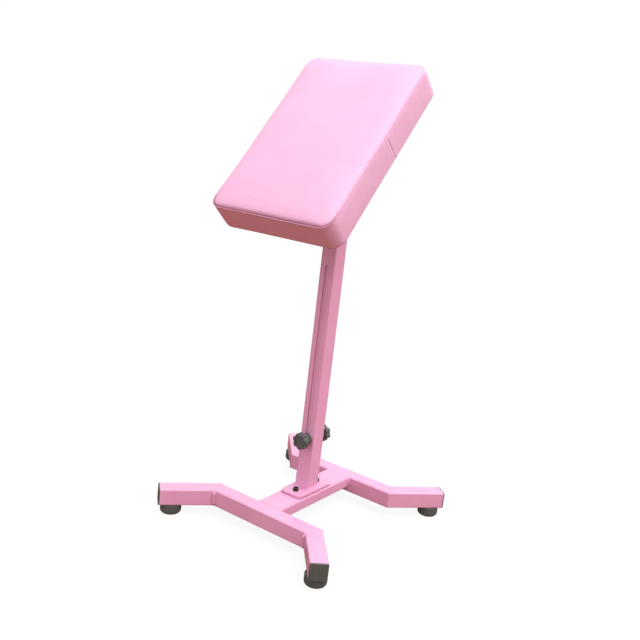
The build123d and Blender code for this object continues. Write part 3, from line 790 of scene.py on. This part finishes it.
tree.links.new(blend_colours(tree, pressed, (0.012, 0.012, 0.013), tone), shader.inputs["Base Color"])
tree.links.new(spread(tree, pressed, 0.0, 1.0, 0.55, 0.9), shader.inputs["Roughness"])
shader.inputs["Sheen Weight"].default_value = 0.1
shader.inputs["Sheen Roughness"].default_value = 0.5
raise_surface(tree, shader, pressed, 0.0001, 0.7)
dust_cloth = add_piece("dust_cloth", points, faces, "cushion_head", dust_fabric)
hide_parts("pad_bottom_cloth")

# Its staples: bent steel wire, one about every 28 mm, driven through the cloth's folded
# edge and the hem into the board.
points, faces = [], []
staple_out, fold_inset = 0.0542, 0.005


def staple(x, along, run_x, run_along):
    """One staple's crown and the shoulders where its legs go in."""
    half_wire, reach, shoulder = 0.00035, 0.0050, 0.0006
    bends = [(-reach, 0.0010), (-reach, -0.0001), (-reach + shoulder, -0.0006), (reach - shoulder, -0.0006),
             (reach, -0.0001), (reach, 0.0010)]
    first = len(points)
    for travel, out in bends:
        for side, lift in ((-1, -1), (1, -1), (1, 1), (-1, 1)):
            on_leg = abs(travel) == reach
            bow = 0 if on_leg else half_wire * lift
            run = travel - half_wire * lift * math.copysign(1, travel) if on_leg else travel
            points.append(on_cushion(x + run_x * run - run_along * half_wire * side,
                                     along + run_along * run + run_x * half_wire * side,
                                     staple_out + out + bow))
    for k in range(len(bends) - 1):
        for side in range(4):
            near, beside = first + 4 * k + side, first + 4 * k + (side + 1) % 4
            faces.append((near, beside, beside + 4, near + 4))


end_count, end_spacing, side_count, side_spacing = 7, 0.0285, 11, 0.0275
for k in range(end_count):
    for end in (-1, 1):
        staple((k - end_count // 2) * end_spacing, end * (cloth_half_length - fold_inset), 1, 0)
for k in range(side_count):
    for side in (-1, 1):
        staple(side * (cloth_half_width - fold_inset), (k - side_count // 2) * side_spacing, 0, 1)
add_piece("dust_cloth_staples", points, faces, "cushion_head", zinc, smooth=False)

# The studio: a wide pale floor, soft light from all round, a broad lamp overhead and to the
# right, two soft boxes for the highlights, two weak fills, and the camera of the photograph.
floor_radius, floor_sides = 6, 72
floor_turns = [2 * math.pi * k / floor_sides for k in range(floor_sides)]
floor_points = [(floor_radius * math.cos(turn), floor_radius * math.sin(turn), 0) for turn in floor_turns]
floor_mesh = bpy.data.meshes.new("floor")
floor_mesh.from_pydata(floor_points, [], [tuple(range(floor_sides))])
floor = bpy.data.objects.new("floor", floor_mesh)
bpy.context.collection.objects.link(floor)
pale, tree, shader = start_finish("pale studio floor")[:3]
shader.inputs["Base Color"].default_value = (0.92, 0.92, 0.92, 1)
shader.inputs["Roughness"].default_value = 0.9
shader.inputs["Specular IOR Level"].default_value = 0.1
# The camera sees it white with a tenth of its shadows, other rays see it dim and warm, and
# from below it is clear
dim = place(tree, "ShaderNodeBsdfDiffuse", {"Color": (0.25, 0.090, 0.034, 1)})
clear = place(tree, "ShaderNodeBsdfTransparent")
bright = place(tree, "ShaderNodeEmission", {"Color": (1, 1, 1, 1), "Strength": 1.0})
shadow_share = 0.10
evened = place(tree, "ShaderNodeMixShader", {0: shadow_share, 1: bright.outputs[0], 2: shader.outputs[0]})
seen = place(tree, "ShaderNodeLightPath").outputs["Is Camera Ray"]
by_sight = place(tree, "ShaderNodeMixShader", {0: seen, 1: dim.outputs[0], 2: evened.outputs[0]})
from_below = place(tree, "ShaderNodeNewGeometry").outputs["Backfacing"]
both = place(tree, "ShaderNodeMixShader", {0: from_below, 1: by_sight.outputs[0], 2: clear.outputs[0]})
tree.links.new(both.outputs[0], tree.nodes["Material Output"].inputs["Surface"])
floor_mesh.materials.append(pale)

world = bpy.data.worlds.new("studio")
world.use_nodes = True
tree = world.node_tree
ambient = tree.nodes["Background"]
ambient.inputs["Color"].default_value = (1, 1, 1, 1)
ambient.inputs["Strength"].default_value = 0.93
white = place(tree, "ShaderNodeBackground", {"Color": (1, 1, 1, 1), "Strength": 1.0})
seen = place(tree, "ShaderNodeLightPath").outputs["Is Camera Ray"]
either = place(tree, "ShaderNodeMixShader", {0: seen, 1: ambient.outputs[0], 2: white.outputs[0]})
tree.links.new(either.outputs[0], tree.nodes["World Output"].inputs["Surface"])
bpy.context.scene.world = world


def hang_lamp(name, kind, energy, towards, distance=2.0, **settings):
    """A lamp that shines back at the middle of the stand from a direction."""
    stand_middle = Vector((0, 0, 0.45))
    lamp = bpy.data.objects.new(name, bpy.data.lights.new(name, kind))
    lamp.data.energy = energy
    for key, value in settings.items():
        setattr(lamp.data, key, value)
    lamp.location = stand_middle + Vector(towards).normalized() * distance
    lamp.rotation_euler = Vector(towards).to_track_quat("Z", "Y").to_euler()
    bpy.context.collection.objects.link(lamp)


hang_lamp("overhead", "SUN", 1.55, (0.42, -0.06, 0.90), angle=math.radians(50))
hang_lamp("soft_box", "AREA", 4.4, (0.5, 0.35, 1.05), distance=1.21, shape="DISK", size=0.8)
hang_lamp("soft_box_over_cushion", "AREA", 2.2, (-0.10, -0.20, 1.10), distance=1.13, shape="DISK", size=0.8)
hang_lamp("front_fill", "SUN", 0.28, (-0.35, -0.90, 0.38), angle=math.radians(60))
hang_lamp("side_fill", "SUN", 0.36, (0.95, -0.05, 0.25), angle=math.radians(60))

camera_spot = Vector((0.7958, -1.1669, 0.7027))
azimuth, elevation, roll = math.radians(34.704), math.radians(13.612), math.radians(6.724)
forward = Vector((-math.sin(azimuth) * math.cos(elevation), math.cos(azimuth) * math.cos(elevation),
                  -math.sin(elevation)))
level = forward.cross(Vector((0, 0, 1))).normalized()
upright = level.cross(forward)
right = level * math.cos(roll) + upright * math.sin(roll)
up = upright * math.cos(roll) - level * math.sin(roll)
camera = bpy.data.objects.new("camera", bpy.data.cameras.new("camera"))
turned = Matrix((right, up, -forward)).transposed().to_4x4()
camera.matrix_world = Matrix.Translation(camera_spot) @ turned
camera.data.lens, camera.data.sensor_width = 47.62, 36.0
bpy.context.collection.objects.link(camera)
bpy.context.scene.camera = camera
bpy.context.scene.view_settings.view_transform = "Standard"
